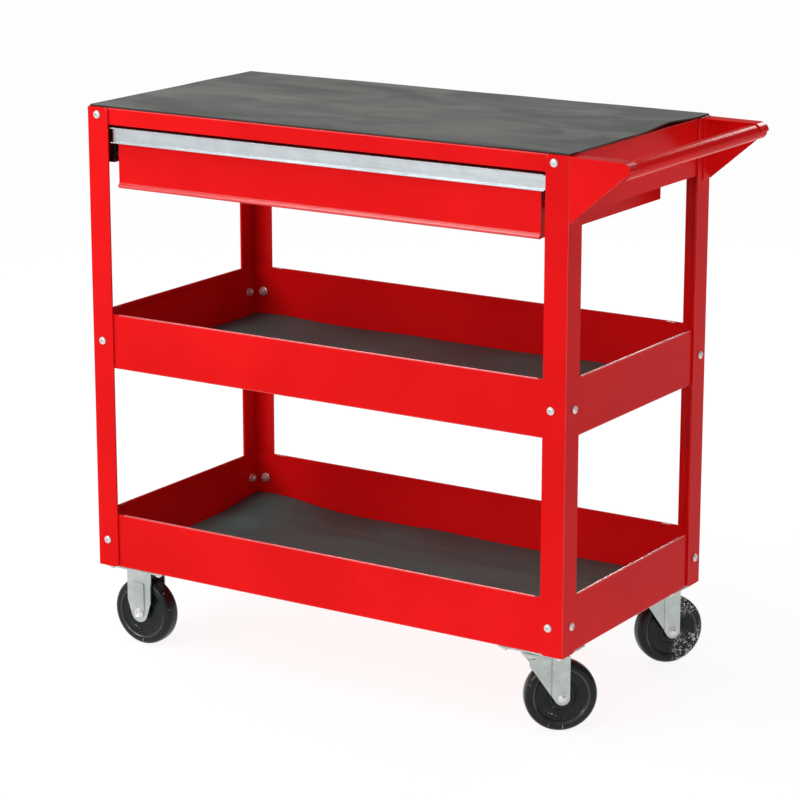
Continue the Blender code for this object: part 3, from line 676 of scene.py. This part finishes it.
def build_drawer_front():
    """A folded front whose lower edge rolls forward into a lip, and the lip's own bead."""
    low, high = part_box("drawer_front")
    width = (high.x - low.x) / MM
    height = (high.z - low.z) / MM
    centre = (0.3, LIP_RADIUS)
    face = [(FRONT_SHEET, height), (0.0, height), (0.0, 9.4), (-0.2, 8.2), (-0.8, 7.0),
            (-1.6, 6.0)]
    face += arc(centre, LIP_RADIUS, 140, 270, 20) + [(FRONT_SHEET, 0.0)]
    mesh = prism("drawer_face", face, -width / 2, width / 2, ALONG_X)
    place = Matrix.Translation(((low.x + high.x) / 2, high.y - FRONT_SHEET * MM, low.z))
    piece("drawer_face", mesh, "drawer", "red_paint", place, stands_for=("drawer_front",),
          round_by=0.5, sharp=30.0)
    bead = prism("bead", arc(centre, LIP_RADIUS + 0.1, 0, 350, 35), 1.0 - width / 2,
                 width / 2 - 1.0, ALONG_X)
    piece("drawer_lip_bead", bead, "drawer", "red_paint", place, look=LIP_PAINT)


# ---------------------------------------------------------------- casters

def axle_place(joint_name):
    """World matrix of a wheel's centre, with Z along its axle toward the drawer side."""
    joint = JOINTS[joint_name]
    axis = -Vector(joint["axis"])
    turn = axis.to_track_quat("Z", "Y").to_matrix().to_4x4()
    return Matrix.Translation(Vector(joint["pos_m"])) @ turn


def wheel():
    """Solid moulded wheel: rounded tread, stepped rim ring and a raised hub."""
    bore = AXLE_RADIUS + BORE_CLEARANCE
    side = [(bore, HUB_HALF), (11.2, HUB_HALF), (12.2, HUB_HALF - 0.5), (13.2, HUB_HALF - 3.6),
            (14.4, HUB_HALF - 4.8), (20.0, HUB_HALF - 5.1), (21.0, HUB_HALF - 4.2),
            (23.8, HUB_HALF - 4.2), (24.8, HUB_HALF - 5.2), (35.0, HUB_HALF - 5.6),
            (37.2, HUB_HALF - 5.2), (39.6, HUB_HALF - 3.2), (41.2, HUB_HALF - 2.2),
            (42.6, WHEEL_HALF), (44.6, WHEEL_HALF), (46.8, WHEEL_HALF - 0.4),
            (49.0, WHEEL_HALF - 1.3), (50.8, WHEEL_HALF - 2.8), (52.1, WHEEL_HALF - 5.0),
            (52.8, WHEEL_HALF - 7.8), (WHEEL_RADIUS, WHEEL_HALF - 11.0)]
    return lathe("wheel", side + [(r, -z) for r, z in reversed(side)], 96)


def axle(riveted):
    """Axle with a domed head at +Z and its nut, or a spread rivet end, at -Z."""
    face = LEG_INSIDE + LEG_SHEET + GAP
    if riveted:
        end = [(0.0, face + 1.6), (2.0, face + 1.8), (3.6, face + 2.6), (5.2, face + 4.4),
               (6.2, face + 4.6), (7.6, face + 3.4), (8.8, face + 1.6), (9.0, face + 0.7),
               (8.6, face)]
        profile = end + [(AXLE_RADIUS, face), (AXLE_RADIUS, -face)]
        profile += [(r, -z) for r, z in reversed(end)]
        return lathe("axle", profile, 48)
    head = [(0.0, face + 4.2), (1.8, face + 4.05), (3.4, face + 3.5), (4.6, face + 2.6),
            (5.2, face + 1.5), (5.3, face + 1.1), (6.7, face + 0.9), (7.0, face + 0.5),
            (7.0, face)]
    tail = [(AXLE_RADIUS, face), (AXLE_RADIUS, -face), (AXLE_RADIUS, -face - 6.2),
            (AXLE_RADIUS - 0.8, -face - 7.0), (0.0, -face - 7.0)]
    bolt = lathe("axle", head + tail, 48)
    hexagon = prism("nut", arc((0, 0), 7.5, 0, 300, 5), -face - 5.0, -face)
    chamfer = lathe("chamfer", [(0.0, 0.0), (8.5, 0.0), (8.5, -face - 3.8), (6.6, -face - 5.0),
                                (0.0, -face - 5.0)], 36)
    nut = combined("nut", hexagon, [chamfer], "INTERSECT")
    return gathered("axle", [bolt, nut])


def axle_cut(distance):
    """The axle's bore, as far along X from the caster's centre as distance says."""
    bore, reach = AXLE_RADIUS + BORE_CLEARANCE, 45.0
    hole = lathe("hole", [(0.0, reach), (bore, reach), (bore, -reach), (0.0, -reach)], 32)
    return placed(hole, moved(distance, 0, -AXLE_DROP) @ turned("X", 90))


def rounded_plate(name):
    points = []
    radius = 9.0
    for sign_x, sign_y, start in ((1, 1, 0), (-1, 1, 90), (-1, -1, 180), (1, -1, 270)):
        centre = (sign_x * (PLATE_SIZE[0] / 2 - radius), sign_y * (PLATE_SIZE[1] / 2 - radius))
        points += arc(centre, radius, start, start + 90, 8)
    return prism(name, points, -GAP - PLATE_THICKNESS, -GAP)


def rigid_bracket():
    """Fixed caster bracket with a pressed panel on each leg."""
    half, tip, straight = 22.0, 15.0, 57.0
    centre = (0.0, -AXLE_DROP)
    under = -GAP - PLATE_THICKNESS
    outline = [(half, under + 1.0), (-half, under + 1.0), (-half, -straight)]
    outline += arc(centre, tip, 198.1, 341.9, 24) + [(half, -straight)]
    panel_half, panel_top = 10.0, -27.0
    panel = arc((panel_half - 4.0, panel_top - 4.0), 4.0, 0, 90, 6)
    panel += arc((4.0 - panel_half, panel_top - 4.0), 4.0, 90, 180, 6)
    panel += [(-panel_half, -AXLE_DROP + 4.0), (panel_half, -AXLE_DROP + 4.0)]
    pressed = 1.9
    solids = []
    for sign in (1, -1):
        inner, outer = LEG_INSIDE, LEG_INSIDE + LEG_SHEET
        edges = sorted((sign * inner, sign * outer))
        solids.append(prism("leg", outline, *edges, turned("X", 90)))
        edges = sorted((sign * (inner + 0.5), sign * (outer + pressed)))
        solids.append(prism("panel", panel, *edges, turned("X", 90)))
    body = combined("rigid_bracket", rounded_plate("plate"), solids, "UNION")
    return combined("rigid_bracket", body, [axle_cut(0.0)], "DIFFERENCE")


def fork():
    """Swivel fork: pressed crown with the lower race, and two legs that curve out to meet it."""
    crown_top, crown_low = -6.4, -19.0
    pin = PIN_RADIUS + BORE_CLEARANCE
    crown = [(pin, crown_top - 1.0), (RACE_RADIUS - 4.5, crown_top - 1.0),
             (RACE_RADIUS - 2.6, crown_top), (RACE_RADIUS - 0.8, crown_top),
             (RACE_RADIUS, crown_top - 0.7), (RACE_RADIUS, crown_top - 2.2),
             (RACE_RADIUS - 0.8, crown_top - 2.9), (RACE_RADIUS - 2.6, crown_top - 3.3),
             (RACE_RADIUS - 3.0, crown_top - 4.2), (RACE_RADIUS - 2.7, crown_top - 5.6),
             (RACE_RADIUS - 3.6, crown_top - 7.6), (RACE_RADIUS - 6.4, crown_top - 9.6),
             (RACE_RADIUS - 10.0, crown_top - 11.2), (RACE_RADIUS - 12.4, crown_low),
             (pin, crown_low)]
    solid = lathe("crown", crown, 72)
    rear = TRAIL + 11.0
    outline = [(rear, -14.0), (-21.0, -14.0), (-21.0, -23.0), (-19.4, -27.0), (-15.0, -32.0)]
    outline += arc((TRAIL, -AXLE_DROP), 11.0, 214.6, 360, 24)
    across = RACE_RADIUS + 5.0
    side_view = prism("side", outline, -across, across, turned("X", 90))
    inside, outside = LEG_INSIDE, LEG_INSIDE + LEG_SHEET
    flare = [(14.6, 0.0), (13.6, 0.3), (12.6, 1.2), (11.6, 2.4), (10.6, 3.3), (9.4, 3.7),
             (2.0, 4.2), (-6.0, 5.0), (-16.0, 6.1), (-26.0, 7.3)]
    plan = [(rear + 2, inside)] + [(x, inside + out) for x, out in flare]
    plan += [(x, outside + out) for x, out in reversed(flare)] + [(rear + 2, outside)]
    legs = []
    for sign in (1, -1):
        strip = prism("strip", [(x, sign * y) for x, y in plan], -95.0, -5.0)
        legs.append(combined("leg", strip, [side_view.copy()], "INTERSECT"))
    web = [(-18.0, -LEG_INSIDE - 1.0), (rear - 0.6, -LEG_INSIDE - 1.0),
           (rear - 0.6, LEG_INSIDE + 1.0), (-18.0, LEG_INSIDE + 1.0)]
    bridge = prism("bridge", web, -17.3, -14.8)
    body = combined("fork", solid, [bridge, *legs], "UNION")
    pin_cut = lathe("pin_cut", [(0.0, 0.0), (pin, 0.0), (pin, -30.0), (0.0, -30.0)], 32)
    return combined("fork", body, [axle_cut(TRAIL), pin_cut], "DIFFERENCE")


def plate_screws():
    """The four nuts and screw ends under a caster's plate."""
    under = -GAP - PLATE_THICKNESS
    shells = []
    for sign_x in (-1, 1):
        for sign_y in (-1, 1):
            spot = moved(sign_x * PLATE_SCREWS[0], sign_y * PLATE_SCREWS[1], 0)
            hexagon = prism("nut", arc((0, 0), 5.6, 15, 315, 5), under - 4.4, under)
            chamfer = lathe("chamfer", [(0.0, 0.0), (7.0, 0.0), (7.0, under - 3.5),
                                        (4.9, under - 4.4), (0.0, under - 4.4)], 30)
            shells.append(placed(combined("nut", hexagon, [chamfer], "INTERSECT"), spot))
            end = lathe("end", [(0.0, under - 3.0), (2.9, under - 3.0), (2.9, under - 5.6),
                                (2.4, under - 6.2), (0.0, under - 6.2)], 24)
            shells.append(placed(end, spot))
    return gathered("plate_screws", shells)


def build_casters():
    """Two rigid casters at the left and two swivel casters at the right."""
    wheel_mesh, rivet, bolt = wheel(), axle(True), axle(False)
    bracket, swivel_fork, screws = rigid_bracket(), fork(), plate_screws()
    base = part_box("bottom_tray")[0].z
    for side in ("front", "rear"):
        spot = middle(f"rigid_wheel_{side}")
        place = axle_place(f"rigid_{side}_spin")
        under_plate = Matrix.Translation((spot.x, spot.y, base))
        piece(f"fixed_bracket_{side}", bracket.copy(), "cart", "zinc_plate", under_plate,
              stands_for=(f"rigid_bracket_{side}",), round_by=0.7, sharp=30.0)
        piece(f"fixed_axle_{side}", rivet.copy(), "cart", "bright_steel", place,
              stands_for=(f"rigid_axle_{side}",))
        piece(f"fixed_wheel_{side}", wheel_mesh.copy(), f"wheel_rigid_{side}", "wheel_polymer",
              place, stands_for=(f"rigid_wheel_{side}",), sharp=28.0)
        piece(f"fixed_plate_screws_{side}", screws.copy(), "cart", "bright_steel", under_plate)

        pivot = middle(f"swivel_plate_{side}")
        axis = JOINTS[f"swivel_{side}_spin"]["axis"]
        trailing = Matrix.Rotation(math.atan2(-axis[0], axis[1]), 4, "Z")
        at_pivot = Matrix.Translation((pivot.x, pivot.y, base))
        place = axle_place(f"swivel_{side}_spin")
        piece(f"turning_fork_{side}", swivel_fork.copy(), f"swivel_{side}", "zinc_plate",
              at_pivot @ trailing, stands_for=(f"swivel_fork_{side}",), round_by=0.6, sharp=30.0)
        piece(f"turning_axle_{side}", bolt.copy(), f"swivel_{side}", "bright_steel", place,
              stands_for=(f"swivel_axle_{side}",))
        piece(f"turning_wheel_{side}", wheel_mesh.copy(), f"wheel_swivel_{side}",
              "wheel_polymer", place, look=WORN_WHEEL if side == "rear" else WHEEL,
              stands_for=(f"swivel_wheel_{side}",), sharp=28.0)
        piece(f"turning_plate_screws_{side}", screws.copy(), "cart", "bright_steel", at_pivot)


# ---------------------------------------------------------------- stage, light and camera

def area_light(name, power, size, location, target):
    light = bpy.data.lights.new(name, "AREA")
    light.energy = power
    light.shape = "RECTANGLE"
    light.size, light.size_y = size
    obj = bpy.data.objects.new(name, light)
    bpy.context.scene.collection.objects.link(obj)
    obj.location = location
    obj.rotation_euler = (Vector(target) - Vector(location)).to_track_quat("-Z", "Y").to_euler()


BRIGHT_SIDE = (-0.55, -0.80, 0.25)
DIM, BRIGHT = 0.22, 0.95


def studio_world():
    """A white room, brighter toward the drawer side and dimmer past the handle end."""
    world = bpy.data.worlds.new("studio")
    world.use_nodes = True
    tree = world.node_tree
    direction = tree.nodes.new("ShaderNodeTexCoord")
    dot = tree.nodes.new("ShaderNodeVectorMath")
    dot.operation = "DOT_PRODUCT"
    dot.inputs[1].default_value = Vector(BRIGHT_SIDE).normalized()
    tree.links.new(direction.outputs["Generated"], dot.inputs[0])
    strength = remapped(tree, dot.outputs["Value"], -0.6, 0.9, DIM, BRIGHT)
    background = tree.nodes["Background"]
    background.inputs["Color"].default_value = (1.0, 1.0, 1.0, 1.0)
    tree.links.new(strength, background.inputs["Strength"])
    bpy.context.scene.world = world


FLOOR_SIZE = 240.0             # its edge stays out of the low views
FLOOR_SHADES = ((0.13, 0.13, 0.13), (0.15, 0.15, 0.15))
FLOOR_GLOW = 0.89

# Name, watts, size, place and target
LIGHTS = (("key", 32.0, (1.3, 0.9), (-1.9, -3.4, 1.9), (0.0, 0.0, 0.45)),
          ("top_fill", 16.0, (1.6, 0.7), (-1.4, -0.8, 2.9), (0.0, 0.0, 0.5)),
          ("back_fill", 18.0, (1.0, 0.45), (0.3, 2.8, 2.0), (0.0, 0.0, 0.4)),
          ("front_strip", 13.0, (0.45, 0.3), (-0.5, -3.3, 1.3), (0.0, 0.0, 0.2)))


def build_stage():
    bpy.context.scene.view_settings.view_transform = "Standard"
    studio_world()
    bpy.ops.mesh.primitive_plane_add(size=FLOOR_SIZE, location=(0, 0, 0))
    floor = bpy.context.object
    floor.name = "studio_floor"
    made, tree, shader = new_material("floor_look")
    cloud = noise_value(tree, 0.4, 1.0)
    tree.links.new(mixed_colour(tree, cloud, *FLOOR_SHADES), shader.inputs["Base Color"])
    shader.inputs["Roughness"].default_value = 0.9
    shader.inputs["Specular IOR Level"].default_value = 0.1
    shader.inputs["Emission Color"].default_value = (1.0, 1.0, 1.0, 1.0)
    shader.inputs["Emission Strength"].default_value = FLOOR_GLOW
    floor.data.materials.append(made)
    for light in LIGHTS:
        area_light(*light)


def build_camera():
    camera = bpy.data.cameras.new("camera")
    camera.lens = CAMERA_LENS
    camera.sensor_width = SENSOR
    obj = bpy.data.objects.new("camera", camera)
    bpy.context.scene.collection.objects.link(obj)
    azimuth, elevation = math.radians(CAMERA_AZIMUTH), math.radians(CAMERA_ELEVATION)
    level = math.cos(elevation)
    back = Vector((math.sin(azimuth) * level, -math.cos(azimuth) * level, math.sin(elevation)))
    obj.location = CAMERA_TARGET + back * CAMERA_DISTANCE
    obj.rotation_euler = (-back).to_track_quat("-Z", "Y").to_euler()
    bpy.context.scene.camera = obj


dress_cad_nodes()
build_hems()
build_screws()
build_mats()
build_handle()
build_drawer_front()
build_casters()
build_stage()
build_camera()
